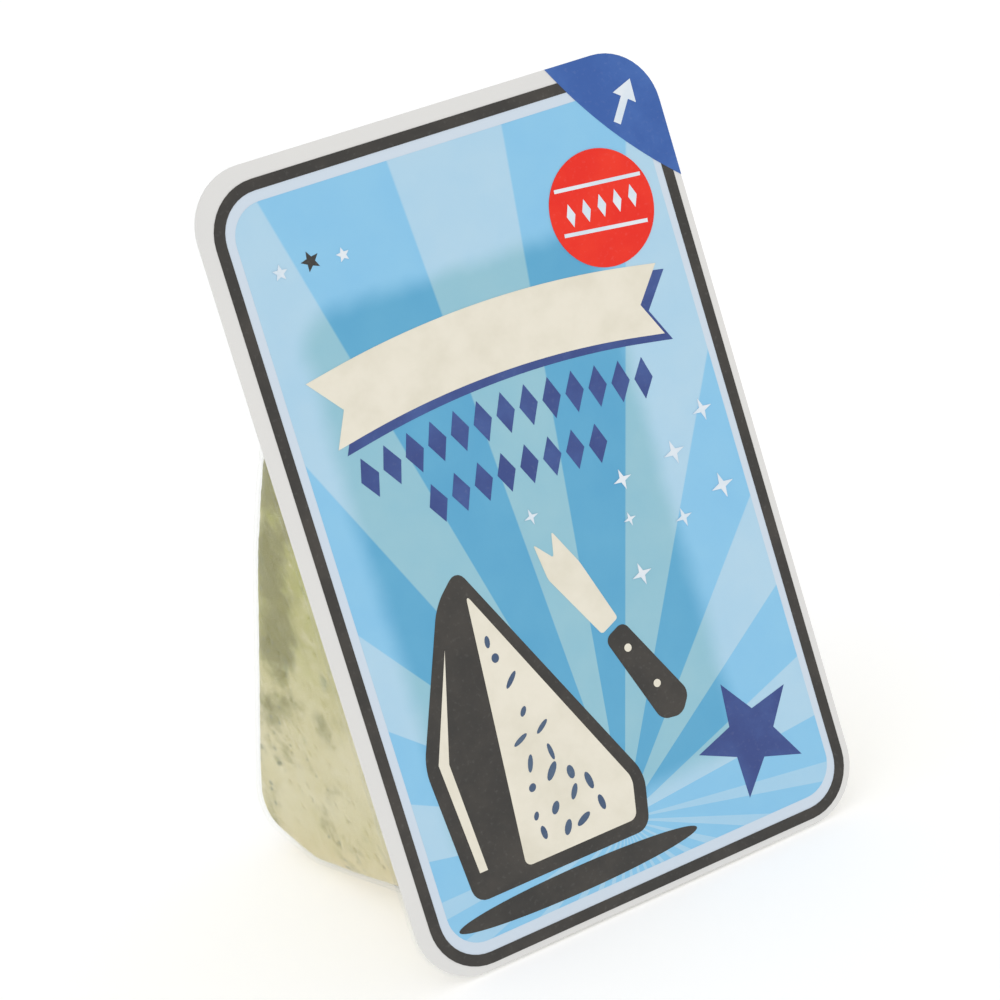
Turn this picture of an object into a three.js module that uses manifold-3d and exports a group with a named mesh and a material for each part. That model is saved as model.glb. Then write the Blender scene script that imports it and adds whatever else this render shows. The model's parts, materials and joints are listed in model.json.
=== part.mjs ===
// A retail portion of blue cheese: a wedge cut from a small wheel, in a clear moulded tray
// that is closed by a printed peel-off lid. The pack stands on the lower edge of its rim and
// on the round lower corner of the tray, with the lid facing -Y and leaning back a little.
//
// Millimetres, +Z up. The origin is on the ground, under the middle of the pack's box.

import * as THREE from 'three';
import * as BufferGeometryUtils from 'three/addons/utils/BufferGeometryUtils.js';
import Module from 'manifold-3d';

// ---- driving dimensions -------------------------------------------------------------------

const LID_WIDTH = 57.4;
const LID_HEIGHT = 90.2;
const LID_CORNER = 7.2;        // radius of the lid's and the rim's corners
const LID_THICKNESS = 0.3;
const SHEET = 0.6;             // thickness of the moulded tray
const GAP = 0.3;               // clearance between pieces that touch

// The tray's side profile is given in the pack's own directions: up the lid from its lower
// edge (v) and straight in from the rim's front face (d). Each place where the wall turns is
// a circle that the wall rolls round, and the wall runs straight between two of them.
const MOUTH_TOP = 74.8;                          // where the back wall starts, at the rim
const BACK_SLOPE = THREE.MathUtils.degToRad(54.8); // of the back wall at the rim, from the lid
const BACK_STRAIGHT = 13.8;                      // length of back wall before it starts to curve
const BACK_RADIUS = 116.6;                       // of the long curve of the back wall
const TIP = { v: 74.3, d: -6.8, r: 5.0 };        // in front of the rim, cut away with the mouth
const FOOT = { v: 10.0, d: -10.3, r: 5.2 };      // in front of the rim, cut away with the mouth
const RIND = { v: 16.2, d: 42.2, r: 10.3 };      // the low corner that the pack stands on
const HEEL = { v: 14.4, d: 51.6, r: 6.0 };       // the deepest corner, where rind meets back

const MOUTH_HALF_WIDTH = 23.0;
const SIDE_DRAFT = THREE.MathUtils.degToRad(1.24); // the side walls close in by this angle
const EDGE_RADIUS = 4.5;                         // between the side walls and all the others

const ARC_STEPS = 5;           // half the number of facets on each round corner
const EDGE_STEPS = 4;          // facets across each rounded edge

// ---- solids ---------------------------------------------------------------------------------

const wasm = await Module();
wasm.setup();

function toSolid(geometry) {
  const bare = geometry.clone();
  bare.deleteAttribute('normal');
  bare.deleteAttribute('uv');
  const merged = BufferGeometryUtils.mergeVertices(bare, 1e-4);
  return new wasm.Manifold(new wasm.Mesh({
    numProp: 3,
    vertProperties: new Float32Array(merged.attributes.position.array),
    triVerts: new Uint32Array(merged.index.array),
  }));
}

function toGeometry(solid) {
  const mesh = solid.getMesh();
  const geometry = new THREE.BufferGeometry();
  geometry.setAttribute('position', new THREE.BufferAttribute(mesh.vertProperties, 3));
  geometry.setIndex(new THREE.BufferAttribute(mesh.triVerts, 1));
  geometry.computeVertexNormals();
  return geometry;
}

// ---- the wedge form that tray and cheese share ----------------------------------------------

// The centre of the back wall's long curve, found from the straight stretch it continues.
function backCurve() {
  const down = [-Math.cos(BACK_SLOPE), Math.sin(BACK_SLOPE)];
  const out = [Math.sin(BACK_SLOPE), Math.cos(BACK_SLOPE)];
  return {
    v: MOUTH_TOP + down[0] * BACK_STRAIGHT - out[0] * BACK_RADIUS,
    d: down[1] * BACK_STRAIGHT - out[1] * BACK_RADIUS,
    r: BACK_RADIUS,
  };
}

const PROFILE = [FOOT, RIND, HEEL, backCurve(), TIP];

// The direction in which the outer tangent of two circles faces, as an angle in (d, v).
function tangentFacing(from, to) {
  const dd = to.d - from.d;
  const dv = to.v - from.v;
  const along = Math.atan2(dv, dd);
  return along - Math.acos((from.r - to.r) / Math.hypot(dd, dv));
}

// The closed outline that rolls round every circle, drawn as (d, v) and moved inwards by inset.
function profileShape(inset) {
  const shape = new THREE.Shape();
  const count = PROFILE.length;
  PROFILE.forEach((circle, i) => {
    const start = tangentFacing(PROFILE[(i + count - 1) % count], circle);
    const end = tangentFacing(circle, PROFILE[(i + 1) % count]);
    shape.absarc(circle.d, circle.v, circle.r - inset, start, end, false);
  });
  shape.closePath();
  return shape;
}

// The wedge, moved inwards by inset on every wall and cut off flat at the depth frontDepth.
function wedgeSolid(inset, frontDepth) {
  const edge = EDGE_RADIUS - inset;
  const halfWidth = MOUTH_HALF_WIDTH - inset;
  const geometry = new THREE.ExtrudeGeometry(profileShape(inset), {
    depth: 2 * (halfWidth - edge),
    curveSegments: ARC_STEPS,
    bevelThickness: edge,
    bevelSize: edge,
    bevelOffset: -edge,
    bevelSegments: EDGE_STEPS,
  });
  geometry.translate(0, 0, edge - halfWidth);
  geometry.rotateX(Math.PI / 2).rotateZ(Math.PI / 2); // (d, v, across) to (across, d, v)

  const place = geometry.attributes.position;
  for (let i = 0; i < place.count; i += 1) {
    const narrowing = (place.getY(i) * Math.tan(SIDE_DRAFT)) / MOUTH_HALF_WIDTH;
    place.setX(i, place.getX(i) * (1 - narrowing));
  }

  const front = new THREE.BoxGeometry(2 * LID_WIDTH, 2 * LID_WIDTH, 4 * LID_HEIGHT);
  front.translate(0, frontDepth - LID_WIDTH, 0);
  return toSolid(geometry).subtract(toSolid(front));
}

// ---- flat sheets: the rim of the tray and the lid -------------------------------------------

// A rounded rectangle as large as the lid, standing on v = 0, from depth back - thickness to back.
function sheetGeometry(thickness, back) {
  const half = LID_WIDTH / 2;
  const shape = new THREE.Shape();
  shape.absarc(half - LID_CORNER, LID_CORNER, LID_CORNER, -Math.PI / 2, 0, false);
  shape.absarc(half - LID_CORNER, LID_HEIGHT - LID_CORNER, LID_CORNER, 0, Math.PI / 2, false);
  shape.absarc(LID_CORNER - half, LID_HEIGHT - LID_CORNER, LID_CORNER, Math.PI / 2, Math.PI, false);
  shape.absarc(LID_CORNER - half, LID_CORNER, LID_CORNER, Math.PI, 1.5 * Math.PI, false);
  shape.closePath();
  const geometry = new THREE.ExtrudeGeometry(shape, {
    depth: thickness,
    bevelEnabled: false,
    curveSegments: ARC_STEPS,
  });
  return geometry.rotateX(Math.PI / 2).translate(0, back, 0);
}

// ---- the three pieces -----------------------------------------------------------------------

function trayGeometry() {
  const rim = toSolid(sheetGeometry(SHEET, SHEET));
  const outside = wedgeSolid(0, SHEET / 2);
  const hollow = wedgeSolid(SHEET, -GAP);
  return toGeometry(rim.add(outside).subtract(hollow));
}

function cheeseGeometry() {
  return toGeometry(wedgeSolid(SHEET + GAP, 0));
}

function lidGeometry() {
  return sheetGeometry(LID_THICKNESS, -GAP);
}

function piece(name, geometry, look) {
  const mesh = new THREE.Mesh(geometry, new THREE.MeshStandardMaterial(look));
  mesh.name = name;
  return mesh;
}

// ---- standing pose --------------------------------------------------------------------------

// The pack tips back until the rim's lower back edge and the tray's low corner both touch.
function leanOnto(circle) {
  const reach = circle.d - SHEET;
  return Math.acos(circle.r / Math.hypot(circle.v, reach)) - Math.atan2(reach, circle.v);
}

const lean = leanOnto(RIND);

const pack = new THREE.Group();
pack.add(
  piece('cheese_wedge', cheeseGeometry(), { color: 0xd3c99c, roughness: 0.55, metalness: 0 }),
  piece('tray', trayGeometry(), {
    color: 0xeef1f2, roughness: 0.12, metalness: 0, transparent: true, opacity: 0.3,
  }),
  piece('lid', lidGeometry(), { color: 0x8fc4e4, roughness: 0.35, metalness: 0 }),
);
pack.rotation.x = -lean;

const standing = new THREE.Group();
standing.add(pack);

standing.updateMatrixWorld(true);
const box = new THREE.Box3().setFromObject(standing, true);
pack.position.set(
  -(box.min.x + box.max.x) / 2,
  -(box.min.y + box.max.y) / 2,
  -box.min.z,
);

export default standing;
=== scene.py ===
# %% [markdown]
# # A blue cheese wedge in its clear tray
# A small wedge of blue cheese lies in a clear moulded tray, and a printed film closes the tray.
# The plain solids of the three pieces come from the frame, which says where each one is. This
# notebook gives each of them its fine shape and its finish, one piece at a time.

# %% Load the frame
import json
import math
import random

import bmesh
import bpy
from mathutils import Matrix, Vector, noise


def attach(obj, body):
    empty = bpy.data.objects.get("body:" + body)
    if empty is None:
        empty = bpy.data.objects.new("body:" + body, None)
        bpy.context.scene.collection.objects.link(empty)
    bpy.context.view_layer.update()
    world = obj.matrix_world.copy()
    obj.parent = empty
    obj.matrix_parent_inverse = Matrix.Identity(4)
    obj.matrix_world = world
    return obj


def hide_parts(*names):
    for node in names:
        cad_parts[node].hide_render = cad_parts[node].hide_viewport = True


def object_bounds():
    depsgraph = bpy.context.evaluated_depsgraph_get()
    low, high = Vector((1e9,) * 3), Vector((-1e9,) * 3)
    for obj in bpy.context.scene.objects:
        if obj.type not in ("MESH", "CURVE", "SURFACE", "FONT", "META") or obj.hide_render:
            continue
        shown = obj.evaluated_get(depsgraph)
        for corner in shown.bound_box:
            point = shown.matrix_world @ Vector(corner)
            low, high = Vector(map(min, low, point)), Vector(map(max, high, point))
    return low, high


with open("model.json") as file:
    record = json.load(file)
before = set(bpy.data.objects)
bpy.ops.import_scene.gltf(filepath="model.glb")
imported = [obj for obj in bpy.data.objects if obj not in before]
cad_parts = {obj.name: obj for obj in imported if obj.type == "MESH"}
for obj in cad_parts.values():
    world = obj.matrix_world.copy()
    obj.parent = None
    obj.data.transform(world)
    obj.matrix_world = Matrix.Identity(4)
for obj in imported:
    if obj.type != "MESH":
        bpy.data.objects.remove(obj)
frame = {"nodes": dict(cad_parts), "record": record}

cad_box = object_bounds()
print("pieces in the frame:", sorted(frame["nodes"]))

# %% [markdown]
# The pack leans back on its tray, so nothing on it is upright. It is much easier to model it
# straight and lean it at the end: x runs across the lid, y goes in from the rim's front face
# and z runs up the lid from its lower edge. One matrix, PACK, carries a straight mesh to its
# place. It is worked out from the flat face of the lid that the record names.

# %% The pack's own directions
MM = 0.001
LID_WIDTH = 57.4 * MM
LID_HEIGHT = 90.2 * MM
LID_CORNER = 7.0 * MM
LID_FRONT = 0.6 * MM          # the lid's face stands this far in front of the rim's face

lid_face = frame["record"]["mounts"][0]
face_point = Vector(lid_face["pos_m"])
face_axis = Vector(lid_face["axis"])
LEAN = math.atan2(face_axis.z, -face_axis.y)

PACK = (
    Matrix.Translation(face_point)
    @ Matrix.Rotation(-LEAN, 4, "X")
    @ Matrix.Translation((0, LID_FRONT, -LID_HEIGHT / 2))
)
print(f"the pack leans back {math.degrees(LEAN):.2f} degrees")

# %% [markdown]
# The camera looks down a little on the pack from its left, turned on its own axis so that the
# pack seems to lean to the left. A long lens from a third of a metre keeps the lid's edges
# nearly parallel. The camera comes first, so that every later step can be looked at.

# %% Camera
AZIMUTH = math.radians(-25.8)
ELEVATION = math.radians(15.3)
ROLL = math.radians(13.4)
DISTANCE = 328 * MM
AIM_OFFSET = Vector((-3.5, -21.6, 2.1)) * MM    # from the middle of the pack's box


def make_camera():
    camera = bpy.data.objects.new("camera", bpy.data.cameras.new("camera"))
    bpy.context.scene.collection.objects.link(camera)
    camera.data.lens = 109.5
    camera.data.sensor_width = 36.0
    camera.data.clip_start = 0.01
    camera.data.clip_end = 100.0
    away = Vector((
        math.sin(AZIMUTH) * math.cos(ELEVATION),
        -math.cos(AZIMUTH) * math.cos(ELEVATION),
        math.sin(ELEVATION),
    ))
    aim = (cad_box[0] + cad_box[1]) / 2 + AIM_OFFSET
    facing = (-away).to_track_quat("-Z", "Y").to_matrix().to_4x4()
    camera.matrix_world = (
        Matrix.Translation(aim + away * DISTANCE) @ facing @ Matrix.Rotation(-ROLL, 4, "Z")
    )
    bpy.context.scene.camera = camera
    return camera


camera = make_camera()
print("camera at", [round(v, 4) for v in camera.matrix_world.translation])

# %% [markdown]
# A pack on a light table in a white room: the room gives an even light from all round, a wide
# soft sun from the upper left makes the shape readable, and the table glows a little, as lit
# acrylic does, which keeps the shadow under the pack pale. Colours are shown as they are,
# without a film curve, so that the printed inks keep their strength.

# %% Light and floor
bpy.context.scene.view_settings.view_transform = "Standard"


def linear(red, green, blue):
    """The colour of an ink or a cheese as 0 to 255 values, for a shader."""
    def one(value):
        share = value / 255
        return share / 12.92 if share <= 0.04045 else ((share + 0.055) / 1.055) ** 2.4
    return (one(red), one(green), one(blue), 1.0)


def make_sky(walls, ceiling):
    """An even white room whose walls are a little brighter than its ceiling."""
    world = bpy.data.worlds.new("white room")
    world.use_nodes = True
    tree = world.node_tree
    background = tree.nodes["Background"]
    background.inputs["Color"].default_value = (1.0, 1.0, 1.0, 1.0)
    direction = tree.nodes.new("ShaderNodeTexCoord")
    parts = tree.nodes.new("ShaderNodeSeparateXYZ")
    fade = tree.nodes.new("ShaderNodeMapRange")
    fade.interpolation_type = "SMOOTHSTEP"
    fade.inputs["From Min"].default_value = 0.15
    fade.inputs["From Max"].default_value = 0.5
    fade.inputs["To Min"].default_value = walls
    fade.inputs["To Max"].default_value = ceiling
    tree.links.new(direction.outputs["Generated"], parts.inputs[0])
    tree.links.new(parts.outputs["Z"], fade.inputs["Value"])
    tree.links.new(fade.outputs["Result"], background.inputs["Strength"])
    bpy.context.scene.world = world


def make_sun(name, towards, softness, strength):
    """A lamp that shines evenly over the whole table, from a disc softness degrees wide."""
    lamp = bpy.data.lights.new(name, "SUN")
    lamp.angle = math.radians(softness)
    lamp.energy = strength
    holder = bpy.data.objects.new(name, lamp)
    bpy.context.scene.collection.objects.link(holder)
    holder.matrix_world = Vector(towards).to_track_quat("Z", "Y").to_matrix().to_4x4()


def make_floor(size):
    bm = bmesh.new()
    bmesh.ops.create_grid(bm, x_segments=1, y_segments=1, size=size)
    mesh = bpy.data.meshes.new("floor")
    bm.to_mesh(mesh)
    bm.free()
    floor = bpy.data.objects.new("floor", mesh)
    bpy.context.scene.collection.objects.link(floor)
    paint = bpy.data.materials.new("white table")
    paint.use_nodes = True
    shader = paint.node_tree.nodes["Principled BSDF"]
    shader.inputs["Base Color"].default_value = (0.72, 0.72, 0.715, 1.0)
    shader.inputs["Roughness"].default_value = 0.7
    shader.inputs["Specular IOR Level"].default_value = 0.1
    shader.inputs["Emission Color"].default_value = (1.0, 1.0, 1.0, 1.0)
    shader.inputs["Emission Strength"].default_value = 0.42
    mesh.materials.append(paint)


make_sky(walls=0.97, ceiling=0.73)
make_sun("soft sun, upper left", (-0.55, -0.75, 1.0), 40, 0.49)
make_floor(20.0)
print("lamps and floor are in place")

# %% [markdown]
# Every material is built from nodes. A few short helpers keep the materials readable: one adds
# a node and fills its inputs, one mixes two colours by a mask, and one turns an object's
# coordinates back into the pack's own straight ones, so that a pattern can be given in
# millimetres up and across the lid.

# %% Helpers for materials
class Recipe:
    """A material's node tree, with short ways to add to it."""

    def __init__(self, name):
        self.material = bpy.data.materials.new(name)
        self.material.use_nodes = True
        self.tree = self.material.node_tree
        self.shader = self.tree.nodes["Principled BSDF"]
        self.output = self.tree.nodes["Material Output"]

    def set(self, **values):
        """Sets the shader's own numbers and colours. An underscore stands for a space."""
        for name, value in values.items():
            self.shader.inputs[name.replace("_", " ")].default_value = value

    def link(self, source, target):
        self.tree.links.new(source, target)

    def node(self, kind, inputs=(), **settings):
        """Adds a node. inputs maps an input's name or number to a value or to an output."""
        added = self.tree.nodes.new("ShaderNode" + kind)
        for name, value in settings.items():
            setattr(added, name, value)
        for name, value in dict(inputs).items():
            if isinstance(value, bpy.types.NodeSocket):
                self.link(value, added.inputs[name])
            else:
                added.inputs[name].default_value = value
        return added

    def math(self, operation, a, b=0.0, c=0.0, clamp=False):
        return self.node("Math", {0: a, 1: b, 2: c}, operation=operation,
                         use_clamp=clamp).outputs[0]

    def blend(self, share, first, second, mode="MIX"):
        """first where share is 0, second where it is 1."""
        mix = self.node("Mix", {0: share, 6: first, 7: second}, data_type="RGBA",
                        blend_type=mode)
        return mix.outputs[2]

    def step(self, value, low, high):
        """0 below low, 1 above high and smooth between them."""
        return self.node("MapRange", {"Value": value, "From Min": low, "From Max": high},
                         interpolation_type="SMOOTHSTEP").outputs["Result"]

    def noise(self, where, size, detail=2.0, roughness=0.5, distortion=0.0):
        """Cloudy noise between about 0.2 and 0.8, with clouds about size across."""
        return self.node("TexNoise", {
            "Vector": where, "Scale": 1 / size, "Detail": detail,
            "Roughness": roughness, "Distortion": distortion,
        }).outputs["Fac"]

    def straight(self, place):
        """Object coordinates turned back to where the mesh was before place moved it."""
        coordinates = self.node("TexCoord").outputs["Object"]
        return self.node("Mapping", {
            "Vector": coordinates, "Location": place.to_translation(),
            "Rotation": place.to_euler(),
        }, vector_type="TEXTURE").outputs["Vector"]

    def bump(self, height, distance, strength=1.0, under=None):
        bump = self.node("Bump", {"Height": height, "Distance": distance,
                                  "Strength": strength})
        if under is not None:
            self.link(under, bump.inputs["Normal"])
        return bump.outputs["Normal"]


# %% [markdown]
# The tray and the cheese share one form: a wedge whose side view is a closed outline that rolls
# round five circles. In Blender such an outline is quick to make with spin, which turns a
# single vertex round each circle's centre, while plain edges join one arc to the next.

# %% The wedge's outline
MOUTH_TOP = 74.8                        # where the back wall starts at the rim, in millimetres
BACK_SLOPE = math.radians(54.8)
BACK_STRAIGHT = 13.8
BACK_RADIUS = 116.6
MOUTH_HALF_WIDTH = 23.0 * MM
SIDE_DRAFT = math.radians(1.24)
EDGE_RADIUS = 4.5 * MM


class Turn:
    """A circle that the wedge's wall rolls round: depth, height and radius in millimetres."""

    def __init__(self, depth, height, radius):
        self.depth = depth * MM
        self.height = height * MM
        self.radius = radius * MM


def back_curve():
    """The long curve of the back wall, which continues the straight stretch at the rim."""
    cos, sin = math.cos(BACK_SLOPE), math.sin(BACK_SLOPE)
    return Turn(
        depth=sin * BACK_STRAIGHT - cos * BACK_RADIUS,
        height=MOUTH_TOP - cos * BACK_STRAIGHT - sin * BACK_RADIUS,
        radius=BACK_RADIUS,
    )


FOOT = Turn(depth=-10.3, height=10.0, radius=5.2)
RIND = Turn(depth=42.2, height=16.2, radius=10.3)
HEEL = Turn(depth=51.6, height=14.4, radius=6.0)
TIP = Turn(depth=-6.8, height=74.3, radius=5.0)
PROFILE = [FOOT, RIND, HEEL, back_curve(), TIP]


def tangent_facing(start, end):
    """The direction in which the outer tangent of two circles faces."""
    depth = end.depth - start.depth
    height = end.height - start.height
    along = math.atan2(height, depth)
    return along - math.acos((start.radius - end.radius) / math.hypot(depth, height))


def rolled_outline(bm, inset, step):
    """One face in the middle plane, bounded by arcs round every circle and their tangents."""
    ends = []
    for i, turn in enumerate(PROFILE):
        first = tangent_facing(PROFILE[i - 1], turn)
        last = tangent_facing(turn, PROFILE[(i + 1) % len(PROFILE)])
        angle = (last - first) % (2 * math.pi)
        radius = turn.radius - inset
        start = bm.verts.new((0, turn.depth + radius * math.cos(first),
                              turn.height + radius * math.sin(first)))
        spun = bmesh.ops.spin(bm, geom=[start], cent=(0, turn.depth, turn.height),
                              axis=(1, 0, 0), angle=angle,
                              steps=max(6, round(angle * radius / step)))
        end = next(v for v in spun["geom_last"] if isinstance(v, bmesh.types.BMVert))
        ends.append((start, end))
    for i, (start, end) in enumerate(ends):
        bm.edges.new((ends[i - 1][1], start))
    return bmesh.ops.contextual_create(bm, geom=bm.edges[:])["faces"][0]


def wedge_form(inset, front, step):
    """The wedge, every wall moved in by inset, and open where the depth front cuts it."""
    bm = bmesh.new()
    face = rolled_outline(bm, inset, step)
    half = MOUTH_HALF_WIDTH - inset
    bmesh.ops.translate(bm, vec=(-half, 0, 0), verts=bm.verts)
    grown = bmesh.ops.extrude_face_region(bm, geom=[face])["geom"]
    moved = [v for v in grown if isinstance(v, bmesh.types.BMVert)]
    bmesh.ops.translate(bm, vec=(2 * half, 0, 0), verts=moved)
    side_edges = [e for e in bm.edges if abs(e.verts[0].co.x - e.verts[1].co.x) < half]
    bmesh.ops.bevel(bm, geom=side_edges, offset=EDGE_RADIUS - inset, affect="EDGES",
                    segments=8, profile=0.5, material=-1, clamp_overlap=False)
    for vert in bm.verts:
        vert.co.x *= 1 - vert.co.y * math.tan(SIDE_DRAFT) / MOUTH_HALF_WIDTH
    bmesh.ops.bisect_plane(bm, geom=bm.verts[:] + bm.edges[:] + bm.faces[:],
                           plane_co=(0, front, 0), plane_no=(0, -1, 0), clear_outer=True)
    bmesh.ops.recalc_face_normals(bm, faces=bm.faces)
    return bm


def open_edges(bm):
    return [e for e in bm.edges if e.is_boundary]


def add_piece(bm, name, material, node=None, place=PACK):
    """Turns a straight mesh into a finished piece in its place in the pack."""
    bmesh.ops.transform(bm, matrix=place, verts=bm.verts)
    mesh = bpy.data.meshes.new(name)
    bm.to_mesh(mesh)
    bm.free()
    piece = bpy.data.objects.new(name, mesh)
    bpy.context.scene.collection.objects.link(piece)
    mesh.materials.append(material)
    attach(piece, "root")
    if node:
        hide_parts(node)
    return piece


def report(piece):
    faces = len(piece.data.polygons)
    size = [round(v / MM, 1) for v in piece.dimensions]
    print(f"{piece.name}: {faces} faces, {size} mm")


# %% [markdown]
# A thermoformed tray starts as a flat clear sheet. The sheet is warmed and drawn into a mould,
# so every turn is soft, the wall has nearly the same thickness everywhere, and what is left of
# the sheet round the mouth is the rim. The same order works here: the wedge form gives the
# drawn pocket, a flat rim is bridged on round its mouth, a small bevel softens the turn
# between them, and Solidify gives the sheet its thickness.

# %% Clear tray: material
def clear_plastic():
    recipe = Recipe("clear moulded sheet")
    where = recipe.straight(PACK)
    recipe.set(Base_Color=linear(250, 251, 251), IOR=1.5)
    smear = recipe.noise(where, 9 * MM, detail=3)
    flow = recipe.noise(where, 14 * MM, detail=1)
    recipe.link(recipe.bump(flow, 0.25 * MM, 0.5), recipe.shader.inputs["Normal"])
    recipe.link(recipe.math("MULTIPLY_ADD", smear, 0.12, 0.06),
                recipe.shader.inputs["Roughness"])
    edge = recipe.node("LayerWeight", {"Blend": 0.25}).outputs["Facing"]
    grazing = recipe.math("POWER", edge, 3.0)
    share = recipe.math("MULTIPLY_ADD", grazing, 0.38, 0.015)
    haze = recipe.step(smear, 0.45, 0.85)
    share = recipe.math("MULTIPLY_ADD", haze, 0.025, share, clamp=True)
    clear = recipe.node("BsdfTransparent", {"Color": (0.99, 0.993, 0.992, 1.0)})
    mix = recipe.node("MixShader", {0: share, 1: clear.outputs[0],
                                    2: recipe.shader.outputs[0]})
    recipe.link(mix.outputs[0], recipe.output.inputs["Surface"])
    return recipe.material


# %% Clear tray: shape
RIM_BACK = 0.4 * MM
SHEET = 0.4 * MM
MOUTH_FILLET = 0.9 * MM
LIP_WIDTH = 1.8 * MM
TRAY_INSET = 0.02 * MM        # the curves are rounder here than in the frame, so they start inside


def rounded_rectangle(bm, width, height, corner, segments=10):
    """A flat rounded rectangle on the lid's artboard, standing on y = 0, as one face."""
    made = bmesh.ops.create_grid(bm, x_segments=1, y_segments=1, size=0.5)
    verts = made["verts"]
    bmesh.ops.translate(bm, vec=(0, 0.5, 0), verts=verts)
    bmesh.ops.scale(bm, vec=(width, height, 1), verts=verts)
    before = set(bm.faces) - {f for v in verts for f in v.link_faces}
    bmesh.ops.bevel(bm, geom=verts, offset=corner, affect="VERTICES", segments=segments,
                    profile=0.5, material=-1, clamp_overlap=False)
    return next(f for f in bm.faces if f not in before)


STAND_UP = Matrix.Rotation(math.radians(90), 4, "X")


def join(bm, fresh):
    """Adds a small mesh to a larger one."""
    mesh = bpy.data.meshes.new("drawing")
    fresh.to_mesh(mesh)
    fresh.free()
    bm.from_mesh(mesh)
    bpy.data.meshes.remove(mesh)


def spread_lip(bm, mouth, width):
    """Turns the sheet outwards round the mouth, into the plane of the rim."""
    spread = bmesh.ops.extrude_edge_only(bm, edges=mouth)["geom"]
    lip = [v for v in spread if isinstance(v, bmesh.types.BMVert)]
    middle = sum((v.co for v in lip), Vector()) / len(lip)
    reach = max(v.co.z for v in lip) - middle.z
    grow = Matrix.Diagonal((1 + width / MOUTH_HALF_WIDTH, 1, 1 + width / reach, 1))
    bmesh.ops.transform(bm, matrix=grow, space=Matrix.Translation(-middle), verts=lip)


def make_tray():
    bm = wedge_form(inset=TRAY_INSET, front=RIM_BACK, step=1.6 * MM)
    mouth = open_edges(bm)
    spread_lip(bm, mouth, LIP_WIDTH)

    card = bmesh.new()
    rounded_rectangle(card, LID_WIDTH, LID_HEIGHT, LID_CORNER)
    bmesh.ops.delete(card, geom=card.faces[:], context="FACES_ONLY")
    bmesh.ops.transform(card, matrix=Matrix.Translation((0, RIM_BACK, 0)) @ STAND_UP,
                        verts=card.verts)
    join(bm, card)
    outline = [e for e in bm.edges if e.is_wire]
    bmesh.ops.triangle_fill(bm, use_beauty=True, edges=open_edges(bm) + outline,
                            normal=(0, 1, 0))
    bmesh.ops.recalc_face_normals(bm, faces=bm.faces)
    deepest = max(bm.faces, key=lambda f: f.calc_center_median().y)
    if deepest.normal.y < 0:
        bmesh.ops.reverse_faces(bm, faces=bm.faces)
    bmesh.ops.bevel(bm, geom=mouth, offset=MOUTH_FILLET, affect="EDGES", segments=4,
                    profile=0.5, material=-1, clamp_overlap=True)
    for face in bm.faces:
        face.smooth = True
    tray = add_piece(bm, "tray_shell", clear_plastic(), node="tray")
    wall = tray.modifiers.new("sheet thickness", "SOLIDIFY")
    wall.thickness = SHEET
    wall.offset = -1.0
    return tray


tray = make_tray()
report(tray)

# %% [markdown]
# The cheese is a sector cut from a small wheel. Its two broad sides are the wheel's top and
# bottom, the low end is the rind, and the long back is a cut face with veins. A cut block is
# soft to the eye because its surface is full of cavities, so the form is first remeshed to
# small even faces and then worked in code with noise: slow waves, small grain, clusters of
# uneven cavities and thin cracks. Each vertex remembers how far it lies in a cavity or beside
# one, so that the mould can grow there.

# %% Cheese: body
CHEESE_INSET = 0.58 * MM
CHEESE_FRONT = 0.25 * MM
VOXEL = 0.44 * MM


def make_block():
    bm = wedge_form(inset=CHEESE_INSET, front=CHEESE_FRONT, step=1.2 * MM)
    mouth = open_edges(bm)
    bmesh.ops.contextual_create(bm, geom=mouth)
    bmesh.ops.bevel(bm, geom=mouth, offset=1.6 * MM, affect="EDGES", segments=4,
                    profile=0.5, material=-1, clamp_overlap=True)
    bmesh.ops.recalc_face_normals(bm, faces=bm.faces)
    return bm


def remeshed(bm, voxel):
    """The same form in small even faces."""
    mesh = bpy.data.meshes.new("block")
    bm.to_mesh(mesh)
    bm.free()
    block = bpy.data.objects.new("block", mesh)
    bpy.context.scene.collection.objects.link(block)
    remesh = block.modifiers.new("even faces", "REMESH")
    remesh.mode = "VOXEL"
    remesh.voxel_size = voxel
    fine = bmesh.new()
    fine.from_object(block, bpy.context.evaluated_depsgraph_get())
    bpy.data.objects.remove(block)
    bpy.data.meshes.remove(mesh)
    return fine


block = remeshed(make_block(), VOXEL)
print("the block has", len(block.faces), "even faces")

# %% Cheese: cavities, waves and grain
WAVE = 0.14 * MM
GRAIN = 0.05 * MM
CAVITY_DEPTH = 0.75 * MM
CRACK_DEPTH = 0.35 * MM
PIT_DEPTH = 0.3 * MM
PROUDEST = 0.08 * MM          # nothing stands further out than this, to stay clear of the tray


def smooth(value, low, high):
    share = min(max((value - low) / (high - low), 0.0), 1.0)
    return share * share * (3 - 2 * share)


def zones(vert):
    """How much a vertex belongs to the cut back, and how much to the rind."""
    normal = vert.normal
    back = smooth(normal.y + 0.35 * normal.z, 0.35, 0.7) * smooth(vert.co.z, 9 * MM, 18 * MM)
    rind = smooth(-normal.z + 0.5 * normal.y, 0.3, 0.8) * (1 - back)
    return back, rind


def crowding(place):
    """How crowded the cavities are: they come in drifts, with plain paste between."""
    return noise.noise(place / 8.0 + Vector((3.1, 0.4, 7.7))) + 0.4 * noise.noise(place / 3.0)


def nearest_seed(place, size, crumple):
    """Distance to the nearest of many scattered seeds, on crumpled paths, 0 to about 1."""
    crumpled = place / size + noise.noise_vector(place / (0.55 * size)) * crumple
    return noise.voronoi(crumpled)[0][0]


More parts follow.
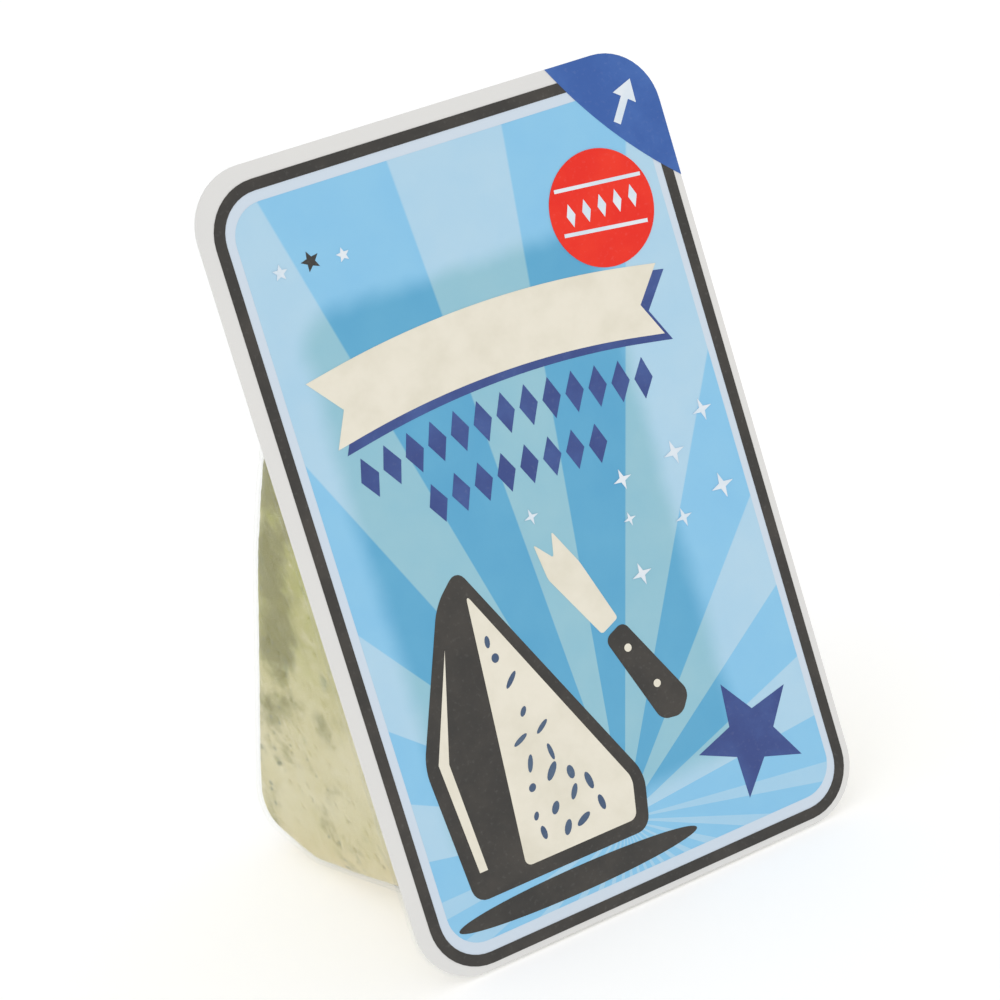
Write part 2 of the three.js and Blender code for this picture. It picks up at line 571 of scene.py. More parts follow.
def hollows(place, back):
    """Depth of the hollow at a place in millimetres, how open it is and how blue round it."""
    crowd = crowding(place)
    big = 0.2 + 0.22 * crowd * (0.4 + 0.6 * back)
    seed = nearest_seed(place, 3.4, 0.5)
    cavity = smooth(big - seed, -0.03, 0.12) * (0.15 + 0.85 * back)
    halo = smooth(big - seed, -0.34, 0.1) * smooth(crowd, -0.35, 0.35)
    small = nearest_seed(place + Vector((40, 0, 0)), 1.7, 0.35)
    pit = smooth(0.17 + 0.1 * crowd - small, -0.02, 0.08)
    bend = place / 6.5 + noise.noise_vector(place / 3.5) * 0.35
    ridge = 1 - abs(noise.noise(bend)) * 6
    crack = smooth(ridge, 0.72, 0.95) * smooth(crowd, -0.1, 0.4) * back
    depth = max(cavity * CAVITY_DEPTH, pit * PIT_DEPTH, crack * CRACK_DEPTH)
    return depth, max(cavity, 0.8 * pit, crack), max(halo * back, 0.9 * crack, 0.35 * halo)


def work_surface(bm):
    bm.normal_update()
    layers = bm.verts.layers.float
    open_layer = layers.new("open")
    blue_layer = layers.new("blue")
    cut_layer = layers.new("cut")
    rind_layer = layers.new("rind")
    moves = []
    for vert in bm.verts:
        place = vert.co / MM
        back, rind = zones(vert)
        depth, opening, blue = hollows(place, back)
        wave = noise.noise(place / 11) + 0.5 * noise.noise(place / 4.5)
        grain = noise.noise(place / 1.1) + 0.6 * noise.noise(place / 0.5)
        height = WAVE * (wave - 0.6) + GRAIN * grain * (0.6 + back) - depth
        moves.append((vert, vert.normal * min(height, PROUDEST)))
        vert[open_layer] = opening
        vert[blue_layer] = blue
        vert[cut_layer] = back
        vert[rind_layer] = rind
    for vert, move in moves:
        vert.co += move
    for face in bm.faces:
        face.smooth = True
    return sum(vert[open_layer] > 0.5 for vert in bm.verts) / len(bm.verts)


print(f"cavities cover {work_surface(block):.0%} of the surface")

# %% [markdown]
# Blue cheese is never one colour. The paste is cream, the mould turns it olive and yellow-green
# in soft clouds, the veins and cavities are blue-grey, and small dark specks sit where the
# needles went in. Each of these is one mask, and the masks are laid over each other from the
# widest to the smallest. The olive cloud is strongest in a band that runs along the back, a
# few millimetres inside it, where the mould gets the most air.

# %% Cheese: material
OLIVE_BAND = 62.7             # millimetres: depth + OLIVE_SLOPE * height on the band's middle
OLIVE_SLOPE = 0.833


def olive_band(recipe, across, depth, height):
    """1 in the middle of the olive band, 0 well outside it, and fainter towards +X."""
    along = recipe.math("MULTIPLY_ADD", height, OLIVE_SLOPE, depth)
    off = recipe.math("ABSOLUTE", recipe.math("SUBTRACT", along, OLIVE_BAND * MM))
    near = recipe.math("SUBTRACT", 1.0, recipe.step(off, 0.5 * MM, 9 * MM))
    high = recipe.step(height, 18 * MM, 36 * MM)
    side = recipe.step(recipe.math("MULTIPLY", across, -1.0), -4 * MM, 19 * MM)
    side = recipe.math("MULTIPLY_ADD", side, 0.7, 0.3)
    return recipe.math("MULTIPLY", recipe.math("MULTIPLY", near, high), side)


def paste_ground(recipe, where, height, rind, outside):
    """Cream low down, greener higher up outside, with paler curds and a warm rind."""
    cloud = recipe.noise(where, 7 * MM, detail=4, roughness=0.6)
    curd = recipe.noise(where, 1.8 * MM, detail=4, roughness=0.65)
    low = recipe.blend(recipe.step(cloud, 0.3, 0.7), linear(204, 194, 138), linear(216, 207, 163))
    high = recipe.blend(recipe.step(cloud, 0.3, 0.7), linear(168, 166, 72), linear(194, 189, 116))
    paste = recipe.blend(recipe.math("MULTIPLY", recipe.step(height, 20 * MM, 46 * MM), outside),
                         low, high)
    pale = recipe.math("MULTIPLY", recipe.step(curd, 0.48, 0.75), 0.45)
    paste = recipe.blend(pale, paste, linear(224, 217, 180))
    base = recipe.math("SUBTRACT", 1.0, recipe.step(height, 6 * MM, 15 * MM))
    warm = recipe.math("MAXIMUM", recipe.math("MULTIPLY", rind, 0.8),
                       recipe.math("MULTIPLY", base, 0.6))
    warm = recipe.math("MULTIPLY", warm, recipe.step(cloud, 0.2, 0.7))
    return recipe.blend(warm, paste, linear(212, 188, 122))


def green_clouds(recipe, paste, where, across, depth, height, outside):
    """Olive along the back, yellow-green beside it."""
    patch = recipe.noise(where, 5 * MM, detail=5, roughness=0.6)
    patch = recipe.math("MULTIPLY_ADD", patch, 1.5, -0.25)
    lime = recipe.step(recipe.noise(where, 4 * MM, detail=4), 0.46, 0.66)
    lime = recipe.math("MULTIPLY", lime, recipe.step(height, 24 * MM, 42 * MM))
    lime = recipe.math("MULTIPLY", lime, outside)
    paste = recipe.blend(recipe.math("MULTIPLY", lime, 0.7), paste, linear(170, 170, 58))
    olive = recipe.math("MULTIPLY_ADD", olive_band(recipe, across, depth, height), 0.36, patch)
    olive = recipe.math("MULTIPLY", recipe.step(olive, 0.52, 0.96), 0.95)
    return recipe.blend(olive, paste, linear(122, 118, 16))


def needle_specks(recipe, paste, where):
    """Ragged grey-green specks in drifts."""
    speck = recipe.node("TexVoronoi", {"Vector": where, "Scale": 1 / (1.5 * MM)})
    chance = recipe.node("SeparateColor", {0: speck.outputs["Color"]}).outputs[0]
    rough = recipe.noise(where, 0.6 * MM, detail=3)
    size = recipe.math("MULTIPLY_ADD", chance, 0.4, -0.26)
    ragged = recipe.math("MULTIPLY_ADD", rough, 0.3, size)
    dots = recipe.step(recipe.math("SUBTRACT", ragged, speck.outputs["Distance"]), -0.06, 0.1)
    drift = recipe.step(recipe.noise(where, 5 * MM, detail=3), 0.42, 0.6)
    share = recipe.math("MULTIPLY", recipe.math("MULTIPLY", dots, drift), 0.65)
    return recipe.blend(share, paste, linear(112, 118, 88))


def marbling(recipe, where, cut):
    """Thin blue threads through the cut face: where a smooth noise passes its middle value."""
    flow = recipe.noise(where, 10 * MM, detail=3, roughness=0.55, distortion=0.8)
    off = recipe.math("ABSOLUTE", recipe.math("SUBTRACT", flow, 0.5))
    thread = recipe.math("SUBTRACT", 1.0, recipe.step(off, 0.004, 0.04))
    drift = recipe.step(recipe.noise(where, 8 * MM, detail=3), 0.42, 0.6)
    return recipe.math("MULTIPLY", recipe.math("MULTIPLY", thread, drift), cut)


def cheese_paste():
    recipe = Recipe("blue cheese")
    where = recipe.straight(PACK)
    drawn = recipe.node("VectorMath", {0: where, 1: (1.0, 0.55, 1.0)},
                        operation="MULTIPLY").outputs[0]
    parts = recipe.node("SeparateXYZ", {0: where})
    height = parts.outputs["Z"]
    depth = parts.outputs["Y"]
    opening = recipe.node("Attribute", attribute_name="open").outputs["Fac"]
    blue = recipe.node("Attribute", attribute_name="blue").outputs["Fac"]
    cut = recipe.node("Attribute", attribute_name="cut").outputs["Fac"]
    rind = recipe.node("Attribute", attribute_name="rind").outputs["Fac"]
    fine = recipe.noise(where, 1.4 * MM, detail=4, roughness=0.65)

    outside = recipe.math("MULTIPLY_ADD", cut, -0.45, 1.0)
    paste = paste_ground(recipe, drawn, height, rind, outside)
    paste = green_clouds(recipe, paste, drawn, parts.outputs["X"], depth, height, outside)
    paste = needle_specks(recipe, paste, drawn)

    stain = recipe.math("MAXIMUM", blue, marbling(recipe, where, cut))
    stain = recipe.math("MULTIPLY", stain, recipe.math("MULTIPLY_ADD", fine, 1.4, 0.2))
    stain = recipe.math("MULTIPLY", recipe.step(stain, 0.1, 0.75), 0.85)
    paste = recipe.blend(stain, paste, linear(110, 130, 110))
    mould = recipe.blend(recipe.step(fine, 0.3, 0.7), linear(58, 80, 80), linear(98, 116, 94))
    grown = recipe.math("MULTIPLY", recipe.step(opening, 0.25, 0.8),
                        recipe.math("MULTIPLY_ADD", cut, 0.4, 0.5))
    paste = recipe.blend(grown, paste, mould)

    recipe.link(paste, recipe.shader.inputs["Base Color"])
    moist = recipe.math("MULTIPLY_ADD", recipe.noise(where, 3 * MM, detail=3), 0.35, 0.3)
    recipe.link(moist, recipe.shader.inputs["Roughness"])
    recipe.set(Subsurface_Weight=0.1, Subsurface_Radius=(1.0, 0.8, 0.45),
               Subsurface_Scale=0.7 * MM, IOR=1.45)
    curds = recipe.bump(recipe.noise(where, 2.2 * MM, detail=4, roughness=0.6), 0.2 * MM, 0.7)
    crumb = recipe.bump(recipe.noise(where, 0.6 * MM, detail=5, roughness=0.75), 0.1 * MM, 0.9,
                        under=curds)
    recipe.link(crumb, recipe.shader.inputs["Normal"])
    return recipe.material


cheese = add_piece(block, "cheese_block", cheese_paste(), node="cheese_wedge")
report(cheese)

# %% [markdown]
# The lid is one thin film, printed and then sealed to the rim. It is drawn on an artboard: x
# runs across the lid and y up from its lower edge, both in millimetres, and z is the height
# above the film. ARTBOARD carries what is drawn there to its place on the pack.
# The film is a little smaller than the rim, so a narrow clear edge shows all round.

# %% Lid film: the artboard
FILM_BACK = 0.07 * MM
FILM_FRONT = 0.46 * MM
FILM_MARGIN = 0.25 * MM
INK = 0.022 * MM              # each layer of ink stands this much higher than the last

ARTBOARD = PACK @ STAND_UP


def thicken(bm, low, high):
    """Gives everything drawn flat on the artboard a thickness from low to high."""
    bmesh.ops.recalc_face_normals(bm, faces=bm.faces)
    bmesh.ops.translate(bm, vec=(0, 0, low), verts=bm.verts)
    grown = bmesh.ops.extrude_face_region(bm, geom=bm.faces[:])["geom"]
    raised = [v for v in grown if isinstance(v, bmesh.types.BMVert)]
    bmesh.ops.translate(bm, vec=(0, 0, high - low), verts=raised)
    bmesh.ops.recalc_face_normals(bm, faces=bm.faces)


def film_surface(recipe, where, roughness):
    """The laminated film's soft gloss and slack, the same over every ink."""
    slack = recipe.noise(where, 16 * MM, detail=2)
    skin = recipe.noise(where, 1.2 * MM, detail=2)
    normal = recipe.bump(slack, 0.5 * MM, 0.5)
    normal = recipe.bump(skin, 0.02 * MM, 0.35, under=normal)
    recipe.link(normal, recipe.shader.inputs["Normal"])
    rub = recipe.noise(where, 7 * MM, detail=4)
    recipe.link(recipe.math("MULTIPLY_ADD", rub, 0.16, roughness - 0.08),
                recipe.shader.inputs["Roughness"])
    recipe.set(IOR=1.45, Specular_IOR_Level=0.4)


def inside(recipe, where, centre, half, corner, soft):
    """1 inside a rounded rectangle on the artboard, 0 outside it, with a soft edge."""
    shifted = recipe.node("VectorMath", {0: where, 1: (centre[0], centre[1], 0)},
                          operation="SUBTRACT").outputs[0]
    folded = recipe.node("VectorMath", {0: shifted}, operation="ABSOLUTE").outputs[0]
    beyond = recipe.node("VectorMath", {
        0: folded, 1: (half[0] - corner, half[1] - corner, 1.0),
    }, operation="SUBTRACT").outputs[0]
    past = recipe.node("VectorMath", {0: beyond, 1: (0, 0, 0)}, operation="MAXIMUM").outputs[0]
    distance = recipe.node("VectorMath", {0: past}, operation="LENGTH").outputs["Value"]
    return recipe.math("SUBTRACT", 1.0, recipe.step(distance, corner - soft, corner + soft))


# Where the film lies on the cheese, its blue is painted deeper and a little green: painted shade
# and the cheese's green showing through the film.
SHADE_CENTRE = (-1.5 * MM, 43.3 * MM)
SHADE_HALF = (18.2 * MM, 30.4 * MM)


# The mask of that painted shade: a soft rounded rectangle with a ragged edge.
def painted_cheese_shade(recipe, where):
    edge = recipe.noise(where, 8 * MM, detail=4)
    shift = recipe.node("VectorMath", {0: recipe.node("CombineXYZ", {0: edge, 1: edge}).outputs[0],
                                       3: 2.2 * MM}, operation="SCALE").outputs[0]
    moved = recipe.node("VectorMath", {0: where, 1: shift}, operation="ADD").outputs[0]
    return inside(recipe, moved, SHADE_CENTRE, SHADE_HALF, 4 * MM, 1.6 * MM)


# %% [markdown]
# The bare film is nearly white, in soft clouds of a slightly warmer white. It is printed on a
# clear base, so it is a touch greyer over the tray than it would be on paper.

# %% Lid film: the sheet
BAND_CENTRE = (0.43 * MM, 44.5 * MM)      # inside the dark line the film has a faint blue tint
BAND_HALF = (26.6 * MM, 43.0 * MM)


def white_film():
    recipe = Recipe("white film")
    where = recipe.straight(ARTBOARD)
    tone = recipe.noise(where, 18 * MM, detail=3)
    colour = recipe.blend(tone, linear(217, 217, 216), linear(226, 224, 220))
    band = inside(recipe, where, BAND_CENTRE, BAND_HALF, 5 * MM, 0.1 * MM)
    face = recipe.step(recipe.node("SeparateXYZ", {0: where}).outputs["Z"],
                       0.5 * (FILM_BACK + FILM_FRONT), FILM_FRONT)
    band = recipe.math("MULTIPLY", band, face)
    colour = recipe.blend(band, colour, linear(204, 216, 228))
    recipe.link(colour, recipe.shader.inputs["Base Color"])
    film_surface(recipe, where, 0.34)
    return recipe.material


def make_film():
    bm = bmesh.new()
    rounded_rectangle(bm, LID_WIDTH - 2 * FILM_MARGIN, LID_HEIGHT - 2 * FILM_MARGIN,
                      LID_CORNER - FILM_MARGIN, segments=12)
    bmesh.ops.translate(bm, vec=(0, FILM_MARGIN, 0), verts=bm.verts)
    thicken(bm, FILM_BACK, FILM_FRONT)
    return add_piece(bm, "lid_film", white_film(), node="lid", place=ARTBOARD)


film = make_film()
report(film)

# %% [markdown]
# A press lays one ink after another, so each ink here is one thin piece of its own with its own
# material, and a later ink lies on top of an earlier one. Drawing the shapes as real faces
# keeps their edges sharp from any distance. A rounded rectangle with an inset face removed
# makes a line of even width.

# %% Inks: helpers
def ink_piece(bm, name, material, layer):
    """Prints what is drawn on the artboard as the given layer of ink."""
    thicken(bm, FILM_FRONT - 0.5 * INK, FILM_FRONT + layer * INK)
    piece = add_piece(bm, name, material, place=ARTBOARD)
    report(piece)
    return piece


def plain_ink(name, colour, worn):
    """A solid ink: colour in most places, worn in the clouds where less ink took."""
    recipe = Recipe(name)
    where = recipe.straight(ARTBOARD)
    cloud = recipe.noise(where, 6 * MM, detail=4, roughness=0.6)
    grain = recipe.noise(where, 0.5 * MM, detail=2)
    tone = recipe.blend(recipe.step(cloud, 0.35, 0.75), linear(*colour), linear(*worn))
    tone = recipe.blend(recipe.math("MULTIPLY", recipe.step(grain, 0.55, 0.8), 0.03), tone,
                        linear(235, 235, 232))
    recipe.link(tone, recipe.shader.inputs["Base Color"])
    film_surface(recipe, where, 0.32)
    return recipe.material


def turned(x, y, angle=0.0, width=1.0, height=1.0):
    """A place on the artboard in millimetres, with a turn in degrees and a stretch."""
    return (
        Matrix.Translation((x * MM, y * MM, 0))
        @ Matrix.Rotation(math.radians(angle), 4, "Z")
        @ Matrix.Diagonal((width, height, 1, 1))
    )


def draw_disc(bm, radius, place, segments=64):
    bmesh.ops.create_circle(bm, cap_ends=True, segments=segments, radius=radius * MM,
                            matrix=place)


def draw_bar(bm, width, height, place):
    bmesh.ops.create_grid(bm, x_segments=1, y_segments=1, size=0.5 * MM,
                          matrix=place @ Matrix.Diagonal((width, height, 1, 1)))


def draw_star(bm, tips, outer, inner, place):
    """A star with its first tip straight up: a circle with every second vertex drawn in."""
    fresh = bmesh.new()
    bmesh.ops.create_circle(fresh, cap_ends=True, segments=2 * tips, radius=outer * MM)
    for vert in fresh.verts[:][1::2]:
        vert.co *= inner / outer
    first = fresh.verts[:][0].co
    up = Matrix.Rotation(math.atan2(first.x, first.y), 4, "Z")
    bmesh.ops.transform(fresh, matrix=place @ up, verts=fresh.verts)
    join(bm, fresh)


def draw_shape(bm, points, rounding=0.0, place=None):
    """A flat face through a few points in millimetres, its corners rounded."""
    verts = [bm.verts.new((x * MM, y * MM, 0)) for x, y in points]
    bm.faces.new(verts)
    if rounding:
        made = bmesh.ops.bevel(bm, geom=verts, offset=rounding * MM, affect="VERTICES",
                               segments=5, profile=0.5, material=-1)
        verts = made["verts"]
    if place is not None:
        bmesh.ops.transform(bm, matrix=place, verts=verts)


def draw_band(bm, left, right, low, high, radius, steps=24):
    """An arched band: an upright edge spun about a centre far below it."""
    centre_x = (left + right) / 2
    centre = Vector((centre_x * MM, (high - radius) * MM, 0))
    half_angle = math.asin((right - left) / 2 / radius)
    foot = bm.verts.new((centre_x * MM, low * MM, 0))
    head = bm.verts.new((centre_x * MM, high * MM, 0))
    edge = bm.edges.new((foot, head))
    bmesh.ops.rotate(bm, cent=centre, matrix=Matrix.Rotation(half_angle, 3, "Z"),
                     verts=[foot, head])
    bmesh.ops.spin(bm, geom=[foot, head, edge], cent=centre, axis=(0, 0, 1),
                   angle=-2 * half_angle, steps=steps)


# %% [markdown]
# The blue picture ground is a fan of pale rays. Rays are easy to make from an angle: the angle
# of a point round the fan's centre, times the number of rays, goes into a sine, and a smooth
# step turns the wave into pale and deep rays with clean edges. The fan is a little narrower
# than it is high, and below its centre the rays are finer, as if light fell on a floor.

# %% Inks: blue rays
RAYS_CENTRE = (-1.0, 9.6)
RAYS_COUNT = 14
RAYS_PHASE = math.radians(-57)
RAYS_SQUEEZE = 0.85
FLOOR_RAYS_COUNT = 34


def ray_picture():
    recipe = Recipe("blue ray ink")
    where = recipe.straight(ARTBOARD)
    parts = recipe.node("SeparateXYZ", {0: where})
    across = recipe.math("SUBTRACT", parts.outputs["X"], RAYS_CENTRE[0] * MM)
    up = recipe.math("SUBTRACT", parts.outputs["Y"], RAYS_CENTRE[1] * MM)
    wide = recipe.math("DIVIDE", across, RAYS_SQUEEZE)
    angle = recipe.math("ARCTAN2", up, wide)
    wave = recipe.math("SINE", recipe.math("MULTIPLY_ADD", angle, RAYS_COUNT, RAYS_PHASE))
    pale = recipe.step(wave, 0.0, 0.08)
    floor_wave = recipe.math("SINE", recipe.math("MULTIPLY", angle, FLOOR_RAYS_COUNT))
    floor_pale = recipe.math("MULTIPLY", recipe.step(floor_wave, 0.3, 0.45), 0.7)
    below = recipe.step(recipe.math("MULTIPLY", up, -1.0), 0.0, 0.4 * MM)
    ray = recipe.node("Mix", {0: below, 2: pale, 3: floor_pale}).outputs[0]

    # Painted shade: deeper, greener blues where the cheese lies behind the film.
    cheese_shade = painted_cheese_shade(recipe, where)
    cloud = recipe.noise(where, 7 * MM, detail=4, roughness=0.55)
    deep_rim = recipe.blend(cloud, linear(128, 190, 229), linear(144, 200, 230))
    deep_shaded = recipe.blend(cloud, linear(80, 158, 200), linear(102, 174, 208))
    pale_rim = recipe.blend(cloud, linear(163, 204, 229), linear(183, 213, 230))
    pale_shaded = recipe.blend(cloud, linear(132, 186, 206), linear(156, 198, 210))
    deep = recipe.blend(cheese_shade, deep_rim, deep_shaded)
    light = recipe.blend(cheese_shade, pale_rim, pale_shaded)
    colour = recipe.blend(ray, deep, light)
    recipe.link(colour, recipe.shader.inputs["Base Color"])
    film_surface(recipe, where, 0.32)
    return recipe.material


def print_rays():
    bm = bmesh.new()
    rounded_rectangle(bm, 50.0 * MM, 82.3 * MM, 3.9 * MM)
    bmesh.ops.translate(bm, vec=(0.5 * MM, 3.45 * MM, 0), verts=bm.verts)
    return ink_piece(bm, "print_blue_rays", ray_picture(), layer=1)


rays = print_rays()

# %% [markdown]
# The dark line runs round the whole picture a little off centre, as prints do. The charcoal ink
# also draws a plain cheese picture at the lower left: a wedge on a round board, and the handle
# of a cheese knife. Such a picture is a handful of simple faces whose corners are rounded by a
# bevel of their vertices.

# %% Inks: charcoal
LINE_WIDTH = 1.25
LINE_BOX = (0.43, 0.92, 54.4, 87.25)     # middle, lower edge, width and height

WEDGE_RIND = [(-20.7, 7.6), (-21.8, 23.5), (-15.0, 39.4), (-11.6, 42.4), (2.9, 13.6), (1.6, 7.6)]
WEDGE_FACE = [(-13.9, 9.2), (-11.4, 39.4), (1.3, 13.6), (0.4, 9.2)]
WEDGE_GLEAM = [(-19.3, 10.6), (-20.2, 23.2), (-15.6, 34.6), (-19.0, 22.9), (-18.3, 10.6)]
KNIFE_PLACE = turned(3.9, 30.6, angle=24)
HANDLE = [(-2.3, -12.4), (-1.5, -1.0), (1.5, -1.0), (2.3, -12.4), (0, -13.8)]
BLADE = [(-1.3, -0.3), (-2.1, 8.6), (-0.9, 12.6), (0.0, 9.9), (1.7, 12.2), (2.0, 7.4), (1.3, -0.3)]
RIVETS = [-3.6, -9.0]


def draw_frame_line(bm):
    middle, low, width, height = LINE_BOX
    face = rounded_rectangle(bm, width * MM, height * MM, 6.0 * MM)
    bmesh.ops.inset_region(bm, faces=[face], thickness=LINE_WIDTH * MM,
                           use_boundary=True, use_even_offset=True)
    bmesh.ops.delete(bm, geom=[face], context="FACES_ONLY")
    bmesh.ops.translate(bm, vec=(middle * MM, low * MM, 0), verts=bm.verts)


def print_charcoal():
    bm = bmesh.new()
    draw_frame_line(bm)
    draw_shape(bm, WEDGE_RIND, rounding=1.5)
    draw_disc(bm, 1.0, turned(-8.2, 5.5, width=15.4, height=1.45))
    draw_shape(bm, HANDLE, rounding=0.9, place=KNIFE_PLACE)
    draw_star(bm, 5, 1.15, 0.5, turned(-17.1, 78.2, 12))
    ink = plain_ink("charcoal ink", (54, 52, 49), (68, 64, 59))
    return ink_piece(bm, "print_charcoal", ink, layer=2)


charcoal = print_charcoal()

# %% [markdown]
# Navy is the shadow ink. It lies under the cream ribbon, a little down and to the right, and it
# draws two arched rows of diamonds and the large star. An arched row needs no list of places:
# each diamond is turned about one centre far below the row.

# %% Inks: navy
RIBBON = dict(left=-18.6, right=19.0, low=60.6, high=68.4, radius=110)
RIBBON_TAIL = 3.2
RIBBON_NOTCH = 2.6
RIBBON_SHADOW = (0.8, -0.9)
STAR_PLACE = (17.0, 12.7)


def draw_ribbon(bm, shift=(0, 0)):
    """An arched ribbon with a notch cut into each end."""
    fresh = bmesh.new()
    draw_band(fresh, **RIBBON)
    for outwards in (-1, 1):
        end = max(fresh.edges, key=lambda e: outwards * (e.verts[0].co.x + e.verts[1].co.x))
        along = (end.verts[0].co - end.verts[1].co).normalized()
        reach = Vector((abs(along.y), -outwards * abs(along.x), 0)) * RIBBON_TAIL * MM
        tail = bmesh.ops.extrude_edge_only(fresh, edges=[end])["geom"]
        tips = [v for v in tail if isinstance(v, bmesh.types.BMVert)]
        bmesh.ops.translate(fresh, vec=(outwards * reach.x, -abs(reach.y), 0), verts=tips)
        far = next(e for e in tail if isinstance(e, bmesh.types.BMEdge))
        cut = bmesh.ops.subdivide_edges(fresh, edges=[far], cuts=1)["geom_inner"]
        notch = next(v for v in cut if isinstance(v, bmesh.types.BMVert))
        notch.co.x -= outwards * RIBBON_NOTCH * MM
    bmesh.ops.translate(fresh, vec=(shift[0] * MM, shift[1] * MM, 0), verts=fresh.verts)
    join(bm, fresh)


def draw_diamond_row(bm, count, pitch, middle, radius, width, height):
    """Diamonds side by side on an arch, each leaning with it."""
    centre = Vector((middle[0] * MM, (middle[1] - radius) * MM, 0))
    for i in range(count):
        angle = -(i - (count - 1) / 2) * pitch / radius
        place = (
            Matrix.Translation(centre)
            @ Matrix.Rotation(angle, 4, "Z")
            @ Matrix.Translation((0, radius * MM, 0))
            @ Matrix.Diagonal((width / 2, height / 2, 1, 1))
        )
        draw_disc(bm, 1.0, place, segments=4)


def print_navy():
    bm = bmesh.new()
    draw_ribbon(bm, RIBBON_SHADOW)
    draw_diamond_row(bm, 13, 2.9, (-0.6, 56.3), 95, 2.3, 4.6)
    draw_diamond_row(bm, 8, 2.9, (-1.1, 50.2), 95, 2.3, 4.4)
    draw_star(bm, 5, 7.0, 3.0, turned(*STAR_PLACE, 16))
    ink = plain_ink("navy ink", (54, 72, 132), (66, 90, 150))
    return ink_piece(bm, "print_navy", ink, layer=2)


navy = print_navy()

# %% [markdown]
# Cream is the light ink: the ribbon, which is bare, the cut face of the wedge in the picture
# and the blade of the knife. The veins of the small wedge are left to a second, darker layer.

# %% Inks: cream
def print_cream():
    bm = bmesh.new()
    draw_ribbon(bm)
    draw_shape(bm, WEDGE_FACE, rounding=0.8)
    draw_shape(bm, WEDGE_GLEAM)
    for up in RIVETS:
        draw_disc(bm, 0.45, KNIFE_PLACE @ turned(0, up), segments=20)
    draw_shape(bm, BLADE, rounding=0.35, place=KNIFE_PLACE)
    ink = plain_ink("cream ink", (232, 226, 210), (222, 216, 198))
    return ink_piece(bm, "print_cream", ink, layer=3)


cream = print_cream()


# %% Inks: veins of the small wedge
VEIN_SEED = 11
VEIN_ROWS = 9
FACE_LEFT = (-13.2, -11.2)         # across, at the foot and at the tip of the cut face
FACE_RIGHT = (0.4, -11.0)
FACE_LOW = 11.0
FACE_HIGH = 36.0


def print_veins():
    """Uneven spots in rows over the cut face in the picture, in blue-grey over cream."""
    rng = random.Random(VEIN_SEED)
    bm = bmesh.new()
    for row in range(VEIN_ROWS):
        up = (row + 0.3) / VEIN_ROWS
        left = FACE_LEFT[0] + (FACE_LEFT[1] - FACE_LEFT[0]) * up + 1.1
        right = FACE_RIGHT[0] + (FACE_RIGHT[1] - FACE_RIGHT[0]) * up - 1.1
        spots = max(1, round((right - left) / 2.6))
        for spot in range(spots):
            across = left + (right - left) * (spot + rng.uniform(0.25, 0.75)) / spots
            high = FACE_LOW + (FACE_HIGH - FACE_LOW) * up + rng.uniform(-0.7, 0.7)
            place = turned(across, high, angle=rng.uniform(20, 100),
                           width=rng.uniform(0.45, 1.15), height=rng.uniform(0.25, 0.45))
            draw_disc(bm, 1.0, place, segments=14)
    ink = plain_ink("blue vein ink", (66, 86, 116), (84, 104, 128))
    return ink_piece(bm, "print_veins", ink, layer=4)


veins = print_veins()

# %% [markdown]
# The corner by which the film is lifted is printed blue to its very edge, so its shape is the
# corner of the film cut off by one shallow arc. The film's own rounded rectangle is drawn
# again, cut along a straight line, and the cut edge is then divided and bowed.

# %% Inks: blue corner
CORNER_LEFT = 15.5
CORNER_LOW = 74.3
CORNER_BOW = 0.9


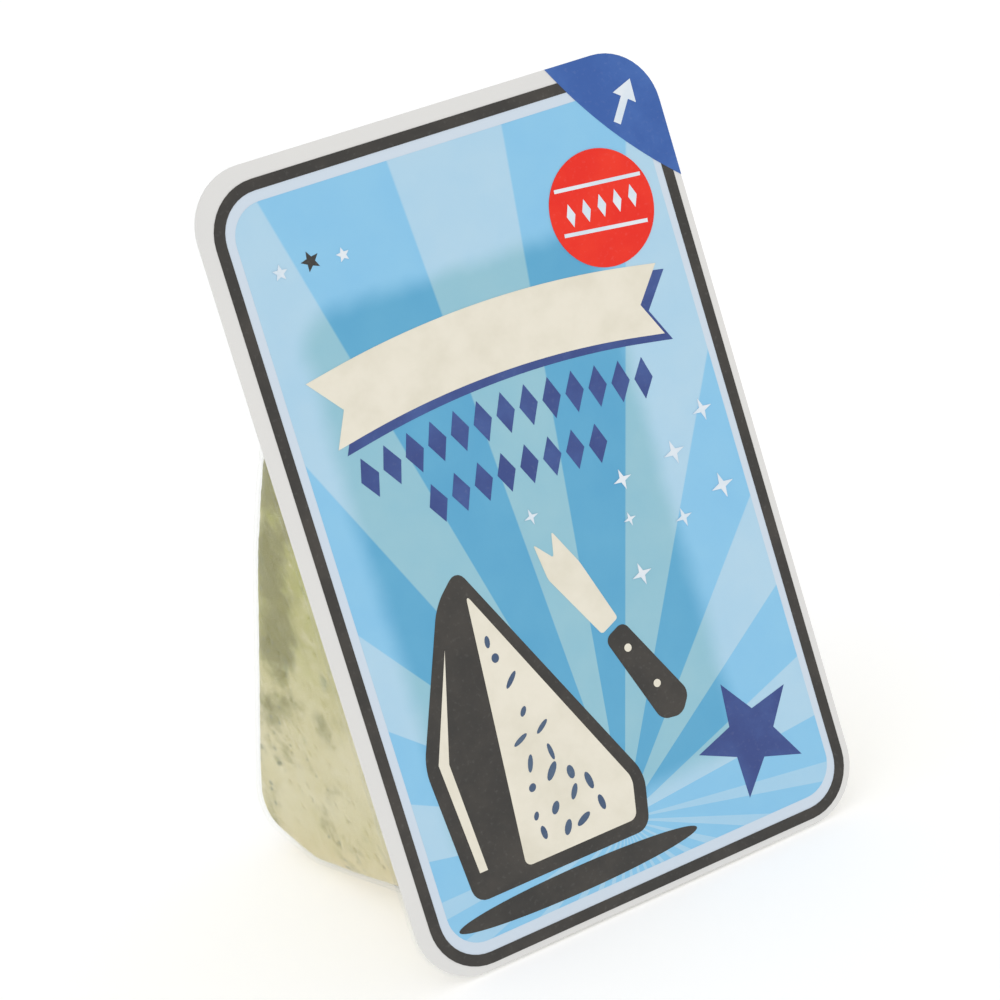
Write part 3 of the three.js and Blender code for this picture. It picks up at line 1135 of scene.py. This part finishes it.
def print_corner():
    bm = bmesh.new()
    rounded_rectangle(bm, LID_WIDTH - 2 * FILM_MARGIN, LID_HEIGHT - 2 * FILM_MARGIN,
                      LID_CORNER - FILM_MARGIN, segments=12)
    bmesh.ops.translate(bm, vec=(0, FILM_MARGIN, 0), verts=bm.verts)
    left = Vector((CORNER_LEFT * MM, LID_HEIGHT, 0))
    low = Vector((LID_WIDTH / 2, CORNER_LOW * MM, 0))
    along = (low - left).normalized()
    out = Vector((along.y, -along.x, 0))
    cut = bmesh.ops.bisect_plane(bm, geom=bm.verts[:] + bm.edges[:] + bm.faces[:],
                                 plane_co=left, plane_no=out, clear_outer=True)["geom_cut"]
    edge = [e for e in cut if isinstance(e, bmesh.types.BMEdge)]
    length = edge[0].calc_length()
    middle = (edge[0].verts[0].co + edge[0].verts[1].co) / 2
    bowed = bmesh.ops.subdivide_edges(bm, edges=edge, cuts=15)["geom_inner"]
    for vert in (v for v in bowed if isinstance(v, bmesh.types.BMVert)):
        share = 2 * (vert.co - middle).length / length
        vert.co += out * CORNER_BOW * MM * (1 - share * share)
    ink = plain_ink("corner blue ink", (52, 92, 164), (66, 106, 176))
    return ink_piece(bm, "print_blue_corner", ink, layer=3)


corner = print_corner()

# %% Inks: red spot
SPOT_PLACE = (17.7, 73.85)
SPOT_RADIUS = 6.5


def print_red():
    bm = bmesh.new()
    draw_disc(bm, SPOT_RADIUS, turned(*SPOT_PLACE), segments=96)
    ink = plain_ink("red ink", (232, 34, 12), (238, 48, 22))
    return ink_piece(bm, "print_red_spot", ink, layer=4)


red = print_red()

# %% [markdown]
# White comes last, on top of everything: an arrow that shows where to lift, the two rules and
# the small diamonds in the red spot, two tiny stars and a few sparkles that drift up the right
# side of the picture.

# %% Inks: white
ARROW = [(-0.45, -2.6), (-0.45, 0.4), (-1.5, 0.4), (0, 2.6), (1.5, 0.4), (0.45, 0.4), (0.45, -2.6)]
SPARKLES = [(-1.3, 44.7, 0.9), (10.6, 45.0, 1.2), (10.1, 40.6, 0.8), (17.7, 45.8, 1.4),
            (22.6, 49.2, 1.3), (16.6, 38.6, 1.1), (22.4, 40.4, 1.5), (9.6, 34.4, 1.3)]


def print_white():
    bm = bmesh.new()
    draw_shape(bm, ARROW, place=turned(24.0, 84.2, -36))
    draw_bar(bm, 10.9, 0.42, turned(18.0, 76.6, -5))
    draw_bar(bm, 10.5, 0.42, turned(17.5, 71.6, -6.5))
    draw_diamond_row(bm, 5, 2.0, (17.75, 74.1), 400, 1.1, 2.6)
    draw_star(bm, 5, 0.8, 0.36, turned(-13.4, 77.8, 4))
    draw_star(bm, 5, 0.9, 0.4, turned(-20.8, 78.0, -6))
    for x, y, size in SPARKLES:
        draw_star(bm, 4, size, 0.3 * size, turned(x, y, 8))
    ink = plain_ink("white ink", (226, 232, 238), (206, 222, 234))
    return ink_piece(bm, "print_white", ink, layer=5)


white = print_white()

# %% Finish
print("frame box ", [[round(v / MM, 2) for v in c] for c in cad_box])
